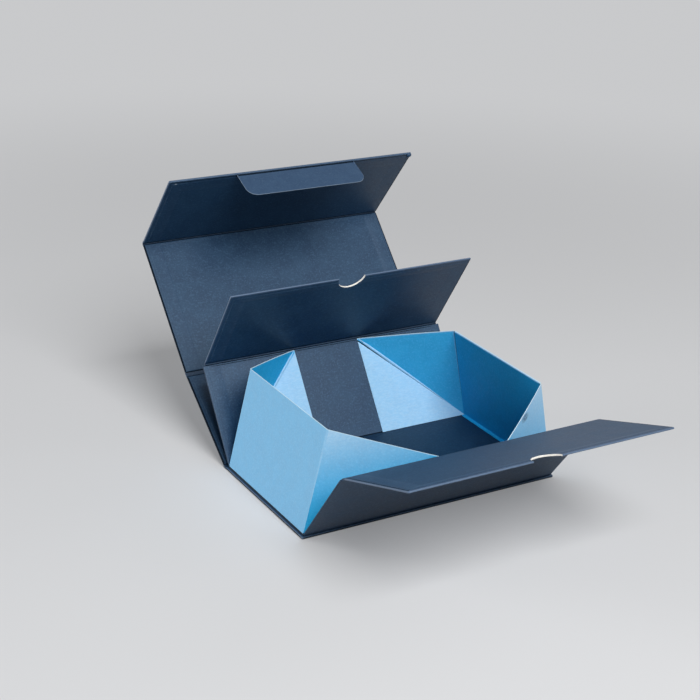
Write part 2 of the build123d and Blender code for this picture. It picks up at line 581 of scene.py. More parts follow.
class Finishes:
    """All the finishes of the box, built once."""

    def __init__(self) -> None:
        """Build the materials."""
        slate = (0.1, 0.15, 0.24)
        speck = Mark((-107.7, 171.2, 204.0), 0.6, 0.5, (0.45, 0.53, 0.6), 0.8, (0.5, 1.0, 1.0))
        smudge = Mark((61.2, -86.9, 73.2), 2.6, 2.4, (0.08, 0.16, 0.27), 1.0, (0.4, 0.4, 1.0))
        self.cover = PaperFinish(
            "dark_blue_cover_paper",
            colour=(0.004, 0.029, 0.077),
            cloud=(0.008, 0.039, 0.092),
            grain=(0.024, 0.068, 0.134),
            wear_and_sheen_colour=slate,
            roughness=0.5,
            specular=0.56,
            tint=(0.8, 0.92, 1.0),
            bump_height=0.00004,
            cloud_scale=75.0,
            marks=(speck,),
        ).material()
        # A darker copy of the cover paper: painted shade for the fold grooves, the bare wall edges and the
        # tray's floor.
        shaded_cover = PaperFinish(
            "painted_shade_blue_paper",
            colour=(0.003, 0.021, 0.055),
            cloud=(0.006, 0.028, 0.066),
            grain=(0.014, 0.045, 0.09),
            wear_and_sheen_colour=slate,
            roughness=0.55,
            specular=0.4,
        )
        self.shade = shaded_cover.material()
        # The tray base: painted shade, with a painted shadow band along its lower edge.
        self.base = replace(shaded_cover, name="painted_shade_base_paper", slot_shadow_height=0.00275).material()
        # Near-black painted shadow for creases, slits, grooves and edge lines that fall in shade.
        self.crease = PaperFinish(
            "painted_crease_shadow",
            colour=(0.001, 0.006, 0.014),
            cloud=(0.0015, 0.008, 0.018),
            grain=(0.003, 0.012, 0.024),
            wear_and_sheen_colour=slate,
            roughness=0.8,
            specular=0.1,
        ).material()
        self.tongue = PaperFinish(
            "slate_blue_tongue_card",
            colour=(0.014, 0.05, 0.115),
            cloud=(0.02, 0.06, 0.13),
            grain=(0.03, 0.074, 0.145),
            wear_and_sheen_colour=(0.19, 0.26, 0.35),
            roughness=0.5,
            specular=0.5,
        ).material()
        self.blue = PaperFinish(
            "light_blue_card",
            colour=(0.004, 0.37, 0.73),
            cloud=(0.006, 0.4, 0.77),
            grain=(0.03, 0.45, 0.83),
            # Pale colour of scuffed card, also the painted sheen on lit faces and painted highlights on
            # edges.
            wear_and_sheen_colour=(0.66, 0.8, 0.92),
            roughness=0.65,
            specular=0.3,
            marks=(smudge,),
        ).material()
        self.blue_cut = PaperFinish(
            "light_blue_card_cut_edge",
            colour=(0.5, 0.76, 0.93),
            cloud=(0.56, 0.8, 0.95),
            grain=(0.61, 0.83, 0.96),
            wear_and_sheen_colour=(0.63, 0.85, 0.97),
            roughness=0.8,
            specular=0.2,
        ).material()
        self.raw = RawBoardFinish("raw_board", pale=(0.86, 0.84, 0.79), layer=(0.68, 0.64, 0.57)).material()


def arc(centre: Pair, radius: float, start: float, end: float, count: int) -> list[Pair]:
    """Points along an arc.

    Args:
        centre: Its centre.
        radius: Its radius.
        start: First angle in degrees.
        end: Last angle in degrees.
        count: How many points.

    Returns:
        The points.
    """
    turns = np.radians(np.linspace(start, end, count))
    return [(centre[0] + radius * math.cos(t), centre[1] + radius * math.sin(t)) for t in turns]


@dataclass
class WrappedBoard:
    """A board wrapped in cover paper and lined on its inner face.

    The lining stops short of the wrapped edges. A hinged edge ends half a fold gap from its fold line.
    Dark lanes are edges painted with shade over dark_rows; line lanes have a painted shadow line where the
    lining starts. With dark_edge, the bare edges are painted with shade as well.
    A band on the inner face, next to the edge, is lightened: scuffing mixed with a painted highlight.
    """

    name: str
    body: str
    node: str
    slot: str
    place: PanelPlace
    length: float
    reach: float
    board: float
    near: Edge
    far: Edge
    fold_gap: float
    notch_radius: float = 0.0
    notch_offset: float = 0.0
    corner_radius: float = 1.0
    sharp_corner: float = 0.05
    edge_radius: float = 0.6
    hinge_radius: float = 0.2
    lining_inset: float = 3.6
    lining: float = 0.14
    turn_in: float = 14.0
    turn_in_step: float = 0.09
    paper: float = 0.16
    paper_half: float = 0.2
    support: float = 0.5
    arc_steps: int = 4
    corner_steps: int = 5
    notch_steps: int = 36
    notch_share: float = 0.7
    notch_creep: float = 0.06
    band: Pair = (0.3, 1.0)
    band_hinged: Pair = (0.4, 0.7)
    band_wear_and_sheen: Pair = (0.9, 0.1)
    lining_edge_highlight: float = 0.25
    turn_in_highlight: float = 0.1
    wear_and_sheen_level: float = 1.0
    wear_and_sheen_end: float = 1.5
    side_wear_and_sheen: float = 0.25
    dark_edge: bool = False
    dark_lanes: tuple[Lane, ...] = ()
    dark_rows: tuple[int, int] = (2, 11)
    line_lanes: tuple[Lane, ...] = ()
    piece: Piece | None = field(default=None, init=False)

    @property
    def inner_row(self) -> int:
        """Number of the first row on the inner face, after those of the two rounds."""
        return 2 * self.arc_steps + 3

    def rows(self) -> list[tuple[dict[Edge, float], float, float]]:
        """Rings round the board, from its outer face over its edge to its inner face.

        Returns:
            For each ring, the inset from each kind of edge, the height and its scuffing and painted
            highlight.
        """
        low = -self.paper_half
        high = self.board - self.paper_half - self.lining
        radius, support = self.edge_radius, self.support
        turns = [math.pi / 2 * step / self.arc_steps for step in range(self.arc_steps + 1)]
        rows = [((radius + support, support, support), low, 0.0)]
        # The rounded edge is lightened most at its crest: scuffing mixed with a painted highlight where light
        # catches it.
        for turn in turns:
            inset = radius * (1 - math.sin(turn))
            rows.append(((inset, 0.0, 0.0), low + radius * (1 - math.cos(turn)), math.sin(turn)))
        for turn in turns:
            round_in = 1 - math.cos(turn)
            insets = (radius * round_in, self.hinge_radius * round_in, 0.0)
            rows.append((insets, high - radius * (1 - math.sin(turn)), math.cos(turn)))
        step = self.lining / 2
        face = high + self.lining
        sunk = face - self.turn_in_step
        wrap = radius + support
        # A band by the edge is lightened by scuffing and painted highlight; thin painted highlight lines mark
        # the lining's edge and the turn-in step.
        rows += [
            ((wrap, radius + self.band_hinged[0] * step, 0.0), high, self.band_wear_and_sheen[0]),
            ((wrap + self.band[0], radius + self.band_hinged[1] * step, 0.0), high, self.band_wear_and_sheen[1]),
            ((wrap + self.band[1], radius + step, 0.0), high, 0.0),
            ((self.lining_inset - step, radius + 2 * step, 0.0), high, 0.0),
            ((self.lining_inset + step, radius + 3 * step, 0.0), face, self.lining_edge_highlight),
            ((self.lining_inset + support, wrap, support), face, 0.0),
            ((self.turn_in - support, radius + 2 * support, 2 * support), face, self.turn_in_highlight),
            ((self.turn_in + support, radius + 3 * support, 3 * support), sunk, 0.0),
            ((self.turn_in + 2 * support, radius + 4 * support, 4 * support), sunk, 0.0),
        ]
        kinds = (Edge.WRAPPED, Edge.HINGED, Edge.CUT)
        return [(dict(zip(kinds, insets)), height, rub) for insets, height, rub in rows]

    def far_inset(self, inset: float) -> float:
        """Inset from the far edge, kept within the depth of the thumb notch.

        Args:
            inset: The inset for a plain edge.

        Returns:
            The inset for this board.
        """
        most = self.notch_share * self.notch_radius
        if not self.notch_radius or inset < most:
            return inset
        return most + self.notch_creep * (inset - most)

    def outline(self, insets: dict[Edge, float]) -> tuple[np.ndarray, np.ndarray, np.ndarray]:
        """Points round the board at these insets.

        Args:
            insets: Inset from each kind of edge.

        Returns:
            The points as (x, distance from the fold), which of them lie on the thumb notch and how much
            scuffing and painted highlight they can take.
        """
        side = insets[Edge.WRAPPED]
        half = self.length / 2 - side
        edges = (self.near, self.far)
        near_gap, far_gap = (self.fold_gap / 2 if edge is Edge.HINGED else 0.0 for edge in edges)
        near_round, far_round = (
            max(self.corner_radius - side, self.sharp_corner) if edge is Edge.WRAPPED else self.sharp_corner
            for edge in edges
        )
        near = near_gap + insets[self.near]
        far = self.reach - far_gap - self.far_inset(insets[self.far])
        low, high = near + near_round + self.wear_and_sheen_end, far - far_round - self.wear_and_sheen_end
        steps = self.corner_steps
        points = arc((-half + near_round, near + near_round), near_round, 180, 270, steps)
        points += arc((half - near_round, near + near_round), near_round, 270, 360, steps)
        near_end = len(points)
        points += [(half, low), (half, high)]
        far_start = len(points)
        points += arc((half - far_round, far - far_round), far_round, 0, 90, steps)
        before = len(points)
        if self.notch_radius:
            radius = self.notch_radius + insets[Edge.CUT]
            dip = math.degrees(math.asin((self.reach - far) / radius))
            points += arc((self.notch_offset, self.reach), radius, -dip, dip - 180, self.notch_steps)
        after = len(points)
        points += arc((-half + far_round, far - far_round), far_round, 90, 180, steps)
        far_end = len(points)
        points += [(-half, high), (-half, low)]
        on_notch = np.zeros(len(points), bool)
        on_notch[before:max(before, after - 1)] = True
        wear_and_sheen_weight = np.ones(len(points))
        wear_and_sheen_weight[:near_end] = float(self.near is Edge.WRAPPED)
        wear_and_sheen_weight[far_start:far_end] = float(self.far is Edge.WRAPPED)
        return np.array(points), on_notch, wear_and_sheen_weight * self.wear_and_sheen_level

    def lanes(self, count: int) -> dict[Lane, list[int]]:
        """Numbers of the quads along each edge of an outline.

        Args:
            count: How many points the outline has.

        Returns:
            The numbers by edge.
        """
        right = 2 * self.corner_steps - 1
        far = 3 * self.corner_steps + 1
        notch = self.notch_steps if self.notch_radius else 0
        return {
            Lane.NEAR: [self.corner_steps - 1],
            Lane.RIGHT: [right, right + 1, right + 2],
            Lane.FAR: [far, far + notch],
            Lane.LEFT: [count - 3, count - 2, count - 1],
        }

    def paint(self, row: int, bare: bool, on_notch: np.ndarray) -> list[int]:
        """Material slots of the quads between two rows.

        Args:
            row: Number of the second row.
            bare: Whether the board would show there without its cover.
            on_notch: Which quads lie on the thumb notch.

        Returns:
            One slot for each quad.
        """
        # Painted shade: a dark-edged board's bare edges take the darker shaded copy of the cover; dark lanes
        # and lining lines take the near-black painted shadow.
        cover, raw, shade, crease = range(4)
        slots = [raw if bare and cut else shade if bare and self.dark_edge else cover for cut in on_notch]
        past_edge = row - self.inner_row
        lining_starts = {Edge.WRAPPED: (2,), Edge.HINGED: (6,), Edge.CUT: (5, 6)}
        starts = {Lane.NEAR: lining_starts[self.near], Lane.FAR: lining_starts[self.far]}
        side_starts = (1, 2)
        low, high = self.dark_rows
        for lane, quads in self.lanes(len(slots)).items():
            dark = lane in self.dark_lanes and low <= row <= high
            line = lane in self.line_lanes and past_edge in starts.get(lane, side_starts)
            for quad in quads if dark or line else ():
                slots[quad] = crease
        return slots

    def build(self, finishes: Finishes) -> Piece:
        """Build the board's mesh.

        Args:
            finishes: The finishes of the box.

        Returns:
            The piece.
        """
        draft = MeshDraft()
        rings, slots = [], []
        bare_from = -self.paper_half + self.paper / 2
        bare_to = self.board - self.paper_half - self.paper
        last_height = -self.paper_half
        for row, (insets, height, rub) in enumerate(self.rows()):
            points, on_notch, wear_and_sheen_weight = self.outline(insets)
            # Scuffing mixed with painted highlight: none on dark lanes, less along the sides.
            worn_and_lit = rub * wear_and_sheen_weight
            for lane, quads in self.lanes(len(points)).items():
                if lane in self.dark_lanes and row <= self.dark_rows[1]:
                    worn_and_lit[quads] = 0.0
                elif lane in (Lane.LEFT, Lane.RIGHT) and row == self.inner_row:
                    worn_and_lit[quads] *= self.side_wear_and_sheen
            rings.append(draft.ring(self.place.points(points[:, 0], points[:, 1], height), worn_and_lit))
            slots.append(self.paint(row, bare_from < (height + last_height) / 2 < bare_to, on_notch))
            last_height = height
        draft.loft(rings, slots[1:])
        self.piece = draft.make(self.name, [finishes.cover, finishes.raw, finishes.shade, finishes.crease])
        return self.piece

    def dress(self) -> None:
        """Let the piece stand for its CAD node and move with its body."""
        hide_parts(self.node)
        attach(self.piece, self.body)


@dataclass
class FoldStrip:
    """Paper that runs across a fold.

    before and after are the places of the two panels, both given from the fold line.
    """

    name: str
    bodies: tuple[str, str]
    slot: str
    before: PanelPlace
    after: PanelPlace
    length: float
    half_gap: float
    half_thickness: float = 0.2
    tuck: float = 1.2
    tucked_half: float = 0.1
    tuck_start: float = 0.15
    bend: float = 1.5
    sag: float = 0.0
    lining_rise: float = 0.8
    dark_line: float = 0.8
    steps: int = 12
    nudge: float = 0.01
    piece: Piece | None = field(default=None, init=False)

    def middle(self, s: np.ndarray) -> np.ndarray:
        """Middle line of the strip, rounded at the fold.

        Args:
            s: Distances from the fold, negative on the first panel.

        Returns:
            One (y, z) row for each distance, in millimetres.
        """
        fold = np.array(self.before.fold)
        back = self.before.run[1:]
        ahead = self.after.run[1:]
        t = np.clip((s + self.bend) / (2 * self.bend), 0, 1)[:, None]
        start = fold - back * self.bend
        end = fold + ahead * self.bend
        curve = (1 - t) ** 2 * start + 2 * t * (1 - t) * fold + t**2 * end
        outside = np.minimum(s + self.bend, 0)[:, None] * back + np.maximum(s - self.bend, 0)[:, None] * ahead
        return curve + outside

    def build(self, finishes: Finishes) -> Piece:
        """Build the strip's mesh.

        The groove on its inner side is painted shade, with a painted shadow line along each board; the
        tongue's fold is painted shadow all over.

        Args:
            finishes: The finishes of the box.

        Returns:
            The piece.
        """
        edge = self.half_gap
        hidden, start = edge + self.tuck, edge + self.tuck_start
        inside = np.linspace(-edge, edge, 2 * self.steps + 1)
        s = np.concatenate(([-hidden, -start], inside, [start, hidden]))
        tucked = np.abs(s) > edge
        half = np.where(tucked, self.tucked_half, self.half_thickness)
        rise = np.where(tucked, 0.0, self.lining_rise)
        along = self.middle(s + self.nudge) - self.middle(s - self.nudge)
        along /= np.linalg.norm(along, axis=1)[:, None]
        normal = np.stack((-along[:, 1], along[:, 0]), axis=1) * self.before.side.value
        sag = self.sag * np.cos(np.clip(s / edge, -1, 1) * math.pi / 2) ** 2
        line = self.middle(s) + normal * sag[:, None]
        loop = np.concatenate((line - normal * half[:, None], (line + normal * (half + rise)[:, None])[::-1]))
        draft = MeshDraft()
        ends = (-self.length / 2, self.length / 2)
        rings = [draft.ring(np.column_stack((np.full(len(loop), x), loop)) * MM) for x in ends]
        # Painted shade in the groove, near-black painted shadow along the boards and all over the tongue's
        # fold.
        cover, lining, dark = range(3)
        slots = [dark] * len(loop)
        if not self.sag:
            middles = np.abs(s[1:] + s[:-1])[::-1] / 2
            groove = [dark if m > edge - self.dark_line else lining for m in middles]
            slots = [cover] * len(s) + groove + [cover]
        draft.loft(rings, [slots])
        self.piece = draft.make(self.name, [finishes.cover, finishes.shade, finishes.crease])
        return self.piece

    def dress(self) -> None:
        """Bake the strip's placement into its mesh."""
        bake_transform(self.piece)


@dataclass
class TuckTongue:
    """Card tongue on the free edge of the front flap, with round corners and a pale cut edge."""

    place: PanelPlace
    length: float
    reach: float
    card: float
    root: float = 1.5
    root_shade: float = 1.4
    corner_radius: float = 9.0
    corner_steps: int = 14
    cut_round: float = 0.12
    pale_band: float = 0.1
    piece: Piece | None = field(default=None, init=False)

    def outline(self, inset: float) -> np.ndarray:
        """Points round the tongue at an inset from its edge.

        Args:
            inset: The inset.

        Returns:
            One (x, distance from the fold) row for each point.
        """
        half = self.length / 2 - inset
        near = self.root + inset
        far = self.reach - inset
        radius = self.corner_radius - inset
        points = [(-half, near), (half, near)]
        points += arc((half - radius, far - radius), radius, 0, 90, self.corner_steps)
        points += arc((-half + radius, far - radius), radius, 90, 180, self.corner_steps)
        return np.array(points)

    def build(self, finishes: Finishes) -> Piece:
        """Build the tongue's mesh, with a painted shadow line at its root.

        Args:
            finishes: The finishes of the box.

        Returns:
            The piece.
        """
        half = self.card / 2
        soft = self.cut_round
        dim, pale = soft + self.root_shade, soft + self.pale_band
        rows = [
            (dim, -half, 0.0), (pale, -half, 0.0), (soft, -half, 1.0), (0.0, soft - half, 1.0),
            (0.0, half - soft, 1.0), (soft, half, 1.0), (pale, half, 0.0), (dim, half, 0.0),
        ]
        draft = MeshDraft()
        rings = []
        for inset, height, rub in rows:
            points = self.outline(inset)
            rings.append(draft.ring(self.place.points(points[:, 0], points[:, 1], height), rub))
        # The root band of every ring takes the near-black painted shadow.
        card, crease = range(2)
        slots = [crease] + [card] * (len(rings[0]) - 1)
        draft.loft(rings, [slots] * (len(rings) - 1))
        self.piece = draft.make("tuck_tongue_card", [finishes.tongue, finishes.crease])
        return self.piece

    def dress(self) -> None:
        """Let the piece stand for its CAD node and move with the tongue."""
        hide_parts("tuck_tongue")
        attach(self.piece, "tongue")


@dataclass
class CornerTuck:
    """Cover paper gathered into a small roll at the right corner of the front flap's free edge."""

    place: PanelPlace
    length: float
    reach: float
    end_inset: float = 2.2
    edge_inset: float = 2.0
    rise: float = 1.5
    radii: Triple = (2.5, 2.1, 1.9)
    shade_below: float = 0.35
    rings: int = 10
    sides: int = 16
    sharp: float = 60.0
    piece: Piece | None = field(default=None, init=False)

    def build(self, finishes: Finishes) -> Piece:
        """Build the roll's mesh, with painted shade on its lower side.

        Args:
            finishes: The finishes of the box.

        Returns:
            The piece.
        """
        draft = MeshDraft()
        cover, crease = range(2)
        around = np.linspace(0, 2 * math.pi, self.sides, endpoint=False)
        # Faces on the roll's lower side take the near-black painted shadow.
        slots = [crease if math.cos(t + math.pi / self.sides) < -self.shade_below else cover for t in around]
        long, reach, high = self.radii
        rings = []
        for tilt in np.linspace(0, math.pi, self.rings + 1)[1:-1]:
            x = self.length / 2 - self.end_inset - long * math.cos(tilt)
            u = self.reach - self.edge_inset + reach * math.sin(tilt) * np.cos(around)
            n = self.rise + high * math.sin(tilt) * np.sin(around)
            rings.append(draft.ring(self.place.points(x, u, n)))
        draft.loft(rings, [slots] * (len(rings) - 1), (crease, cover))
        self.piece = draft.make("front_flap_corner_tuck", [finishes.cover, finishes.crease], self.sharp)
        return self.piece

    def dress(self) -> None:
        """Let the roll move with the front flap."""
        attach(self.piece, "front_flap")


class CreaseBeads:
    """Geometry Nodes tree that raises a tapered bead along crease lines."""

    INPUTS = {
        "Bead Radius": "NodeSocketFloat", "Taper": "NodeSocketFloat", "Rub": "NodeSocketFloat",
        "Steps": "NodeSocketInt", "Sides": "NodeSocketInt", "Finish": "NodeSocketMaterial",
    }
    STEPS = 28
    SIDES = 12
    SWELL_END = 0.7
    FADE_START = 0.9
    TIP_SHARE = 0.3

    def __init__(self, name: str) -> None:
        """Build the tree with its named inputs.

        Args:
            name: Name of the tree.
        """
        self.tree = bpy.data.node_groups.new(name, "GeometryNodeTree")
        face = self.tree.interface
        self.sockets = {}
        face.new_socket("Geometry", in_out="INPUT", socket_type="NodeSocketGeometry")
        for label, kind in self.INPUTS.items():
            self.sockets[label] = face.new_socket(label, in_out="INPUT", socket_type=kind).identifier
        face.new_socket("Geometry", in_out="OUTPUT", socket_type="NodeSocketGeometry")
        self._wire()

    def _add(self, kind: str, inputs: dict[str | int, object], **settings: object) -> bpy.types.NodeOutputs:
        """Add a node and return its outputs."""
        return add_node(self.tree, kind, inputs, **settings).outputs

    def _wire(self) -> None:
        """Add the nodes, each linked to those before it."""
        start = self._add("NodeGroupInput", {})
        curve = self._add("GeometryNodeMeshToCurve", {"Mesh": start["Geometry"]})["Curve"]
        curve = self._add("GeometryNodeResampleCurve", {"Curve": curve, "Count": start["Steps"]})["Curve"]
        along = self._add("GeometryNodeSplineParameter", {})["Factor"]
        smooth = {"interpolation_type": "SMOOTHSTEP"}
        swell = {"Value": along, "From Max": self.SWELL_END, "To Min": start["Taper"]}
        fade = {"Value": along, "From Min": self.FADE_START, "To Min": 1.0, "To Max": self.TIP_SHARE}
        swell = self._add("ShaderNodeMapRange", swell, **smooth)["Result"]
        fade = self._add("ShaderNodeMapRange", fade, **smooth)["Result"]
        width = self._add("ShaderNodeMath", {0: swell, 1: fade}, operation="MULTIPLY")["Value"]
        curve = self._add("GeometryNodeSetCurveRadius", {"Curve": curve, "Radius": width})["Curve"]
        circle = {"Radius": start["Bead Radius"], "Resolution": start["Sides"]}
        circle = self._add("GeometryNodeCurvePrimitiveCircle", circle)["Curve"]
        sweep = {"Curve": curve, "Profile Curve": circle, "Scale": width, "Fill Caps": True}
        shape = self._add("GeometryNodeCurveToMesh", sweep)["Mesh"]
        shape = self._add("GeometryNodeSetShadeSmooth", {"Geometry": shape})["Geometry"]
        # The beads carry a painted highlight in the mesh's lightening attribute.
        rub = {"Geometry": shape, "Name": "rub", "Value": start["Rub"]}
        kind = {"data_type": "FLOAT", "domain": "POINT"}
        shape = self._add("GeometryNodeStoreNamedAttribute", rub, **kind)["Geometry"]
        shape = self._add("GeometryNodeRealizeInstances", {"Geometry": shape})["Geometry"]
        finish = {"Geometry": shape, "Material": start["Finish"]}
        shape = self._add("GeometryNodeSetMaterial", finish)["Geometry"]
        self._add("NodeGroupOutput", {"Geometry": shape})

    def lay(
        self, name: str, lines: list[np.ndarray], finish: Material, radius: float, taper: float, rub: float
    ) -> Piece:
        """Lay beads along lines and return them as a plain mesh.

        Args:
            name: Name of the piece.
            lines: Points of each line in metres, from the corner outwards.
            finish: Finish of the beads.
            radius: Radius of a bead in metres.
            taper: Share of the radius that is left at the corner.
            rub: How much the beads are lightened as a painted highlight, from 0 to 1.

        Returns:
            The piece.
        """
        path = bpy.data.meshes.new(name + "_path")
        edges, first = [], 0
        for line in lines:
            edges += [(first + k, first + k + 1) for k in range(len(line) - 1)]
            first += len(line)
        path.from_pydata([tuple(p) for line in lines for p in line], edges, [])
        holder = put_in_scene(name + "_path", path)
        modifier = holder.modifiers.new("beads", "NODES")
        modifier.node_group = self.tree
        values = (radius, taper, rub, self.STEPS, self.SIDES, finish)
        for label, value in zip(self.INPUTS, values):
            modifier[self.sockets[label]] = value
        graph = bpy.context.evaluated_depsgraph_get()
        mesh = bpy.data.meshes.new_from_object(holder.evaluated_get(graph))
        mesh.name = name
        holder.modifiers.remove(modifier)
        bpy.data.objects.remove(holder)
        return put_in_scene(name, mesh)


def towards(start: np.ndarray, goal: np.ndarray, distance: float) -> np.ndarray:
    """The point at a distance from a start towards a goal."""
    step = goal - start
    return start + step * (distance / np.linalg.norm(step))


def bend(
    before: np.ndarray, corner: np.ndarray, after: np.ndarray, reach: float, count: int
) -> list[np.ndarray]:
    """Round a corner of a line.

    Args:
        before: Point before the corner.
        corner: The corner.
        after: Point after the corner.
        reach: How far from the corner the round starts and ends.
        count: How many points.

    Returns:
        The points of the round.
    """
    start, end = towards(corner, before, reach), towards(corner, after, reach)
    return [(1 - t) ** 2 * start + 2 * t * (1 - t) * corner + t**2 * end for t in np.linspace(0, 1, count)]


@dataclass
class RimPoint:
    """A point on the free edge of a folded sheet in millimetres, with the card and its painted light there.

    The three lightening values are for the inner face, the outer face and the cut edge: painted sheen and
    highlights with some scuffing. On a free facet the painted sheen fades into painted shade towards the
    corner. dark marks a painted shadow line, seam where the edge is joined to the other half, and flare is
    how far the cut edge turns outwards.
    """

    place: np.ndarray
    card: float
    rub_in: float = 0.0
    rub_out: float = 0.0
    rub_cut: float = 0.0
    facet: bool = False
    dark: bool = False
    seam: bool = False
    flare: float = 0.0


@dataclass
class EndSheet:
    """One end of the tray: a sheet of card folded into an end wall and two gussets.

    Every fold runs from a bottom corner of the tray, so the sheet is made of straight lines from that
    corner. A pair for the two ends has the left one first.
    """

    end: End
    sizes: BoxSizes
    top_round: float = 1.0
    wall_round: float = 1.2
    bow: float = 0.6
    bow_end: float = 0.985
    groove: Pair = (2.9, 1.5)
    groove_card: float = 0.04
    groove_edge: float = 0.02
    foot: float = 0.008
    rays: int = 7
    cut_band: float = 0.006
    cut_highlight: float = 0.9
    patch_sheen: float = 0.54
    wall_sheen: float = 0.35
    facet_sheen: float = 0.64
    facet_shade_falloff: Pair = (1.9, 0.9)
    facet_sheen_low: Pair = (0.25, 0.5)
    fold_highlight: float = 0.2
    fold_highlight_share: float = 0.7
    fold_line: float = 0.3
    seam_start: float = 0.6
    lip_highlight: Pair = (0.0, 0.2)
    flare: Pair = (0.0, 0.9)
    inner_sheen: Pair = (0.0, 0.05)
    sharp: float = 35.0
    margin_inset: float = 1.2
    margin_edge: Pair = (0.2, 0.7)
    margin_corner: tuple[Pair, ...] = ((1.0, 0.0), (0.5, 0.2), (0.15, 0.7), (0.0, 1.2))
    bead_radius: float = 1.25
    bead_taper: float = 0.15
    bead_lift: float = 0.5
    bead_end: float = 0.985
    bead_highlight: float = 0.5
    foot_steps: int = 7
    round_steps: int = 7
    line_steps: int = 16
    fold_steps: int = 9
    wall_steps: int = 8
    seam_steps: int = 9
    pieces: list[Piece] = field(default_factory=list, init=False)

    @property
    def label(self) -> str:
        """Name of the end in lower case."""
        return self.end.name.lower()

    def own(self, pair: Pair) -> float:
        """This end's value of a pair."""
        return pair[self.end is End.RIGHT]

    def corners(self, side: Side) -> dict[str, np.ndarray]:
        """Corner points of one half of the sheet.

        Args:
            side: Front or back half.

        Returns:
            Points in millimetres by name.
        """
        z = self.sizes
        e, s = self.end.value, side.value
        lean = math.radians(z.wall_lean)
        rise = z.wall_height * math.cos(lean)
        out = z.wall_height * math.sin(lean)
        tilt = math.asin(z.wall_height / math.hypot(z.wall_height, rise)) - math.atan2(rise, z.wall_height)
        corner = np.array((e * z.tray_length / 2, s * z.tray_depth / 2, z.base_top))
        top = corner + z.wall_height * np.array((-e * math.sin(tilt), 0.0, math.cos(tilt)))
        middle = np.array((1.0, 0.0, 1.0))
        return {
            "corner": corner,
            "wall_foot": corner - np.array((e * z.wall_height, 0.0, 0.0)),
            "wall_top": corner + np.array((-e * z.wall_height, s * out, rise)),
            "top": top,
            "middle_top": top * middle,
            "middle_foot": corner * middle,
        }

    def rim(self, side: Side) -> list[RimPoint]:
        """Free edge of one half, with its folds rounded and its free facet bowed.

        Args:
            side: Front or back half.

        Returns:
            The edge, from the foot on the wall round to the middle of the end wall's foot.
        """
        c = self.corners(side)
        wall_foot, wall_top, top, middle_top = (c[k] for k in ("wall_foot", "wall_top", "top", "middle_top"))
        rim: list[RimPoint] = []

        def add(places: object, card: float = self.sizes.end_card, **wear_and_sheen_level: object) -> None:
            """Add points with the same card and painted light."""
            rim.extend(RimPoint(place, card, **wear_and_sheen_level) for place in places)

        low, high = (towards(wall_top, wall_foot, d) for d in self.groove)
        # The glued patch's inner face is lightened as painted sheen.
        add(np.linspace(wall_foot, low, self.foot_steps), rub_in=self.patch_sheen)
        # On the right end, a thin slit under the crease bead is painted as a shadow line.
        if self.end is End.RIGHT:
            slit = [towards(low, wall_top, self.groove_edge), towards(high, wall_foot, self.groove_edge)]
            add(slit, card=self.groove_card, dark=True)
        add([high, *bend(wall_foot, wall_top, top, self.wall_round, self.round_steps)], rub_cut=1.0)
        first = towards(wall_top, top, self.wall_round)
        last = towards(top, wall_top, self.top_round)
        shares = np.linspace(0, self.bow_end, self.line_steps)[1:-1]
        facet = np.cross(wall_top - c["corner"], top - c["corner"])
        facet *= np.sign(facet @ np.array((self.end.value, side.value, 0.0))) / np.linalg.norm(facet)
        bowed = first + np.outer(shares, last - first) + np.outer(4 * self.bow * shares * (1 - shares), facet)
        # Painted sheen on the free facet's outer face, growing towards its top edge.
        low = self.own(self.facet_sheen_low)
        worn_and_lit = {"rub_in": self.own(self.inner_sheen), "rub_cut": 1.0, "facet": True}
        for place, pale in zip(bowed, self.facet_sheen * (low + (1 - low) * shares)):
            add([place], rub_out=pale, **worn_and_lit)
        past_round = self.top_round + self.fold_line
        add([towards(top, wall_top, past_round)], rub_out=self.facet_sheen, **worn_and_lit)
        # Painted highlight along the rounded top fold, on both faces.
        fold = bend(wall_top, top, middle_top, self.top_round, self.fold_steps)
        add(fold, rub_in=self.fold_highlight, rub_out=self.fold_highlight_share * self.facet_sheen, rub_cut=1.0)
        # The end wall's outer face is lightened as painted sheen.
        wall = {"rub_out": self.wall_sheen}
        # On the right end, the step just past the top fold is painted as a shadow line.
        add([towards(top, middle_top, past_round)], rub_cut=1.0, dark=self.end is End.RIGHT, **wall)
        start = towards(top, middle_top, self.top_round + 2 * self.fold_line)
        edge = np.linspace(start, middle_top, self.wall_steps)
        add(edge, rub_cut=1.0, flare=self.own(self.flare), **wall)
        under = towards(middle_top, c["middle_foot"], self.seam_start)
        add(np.linspace(under, c["middle_foot"], self.seam_steps), seam=True, **wall)
        return rim

    def inward(self, rim: np.ndarray, corner: np.ndarray) -> np.ndarray:
        """Unit normals of the lines from the corner to the rim, towards the middle of the tray.

        Args:
            rim: Points of the free edge.
            corner: The corner that all the lines start from.

        Returns:
            One normal for each point.
        """
        along = np.gradient(rim, axis=0)
        normal = np.cross(along, rim - corner)
        normal /= np.linalg.norm(normal, axis=1)[:, None]
        middle = np.array((0.0, 0.0, self.sizes.base_top + self.sizes.wall_height / 2))
        facing = np.einsum("ij,ij->i", normal, middle - (rim + corner) / 2)
        return normal * np.where(facing < 0, -1.0, 1.0)[:, None]

    def build(self, finishes: Finishes, beads: CreaseBeads) -> list[Piece]:
        """Build the folded sheet, its glue margin and its crease beads.

        Args:
            finishes: The finishes of the box.
            beads: Tree for the crease beads.

        Returns:
            The pieces.
        """
        draft = MeshDraft()
        for side in Side:
            self._half(draft, self.corners(side)["corner"], self.rim(side))
        self._margin(draft)
        materials = [finishes.blue, finishes.blue_cut, finishes.crease]
        sheet = draft.make(f"{self.label}_end_card", materials, self.sharp)
        bead = beads.lay(
            f"{self.label}_crease_beads", [self._crease(side) for side in Side], finishes.blue,
            self.bead_radius * MM, self.bead_taper, self.bead_highlight,
        )
        self.pieces = [sheet, bead]
        return self.pieces

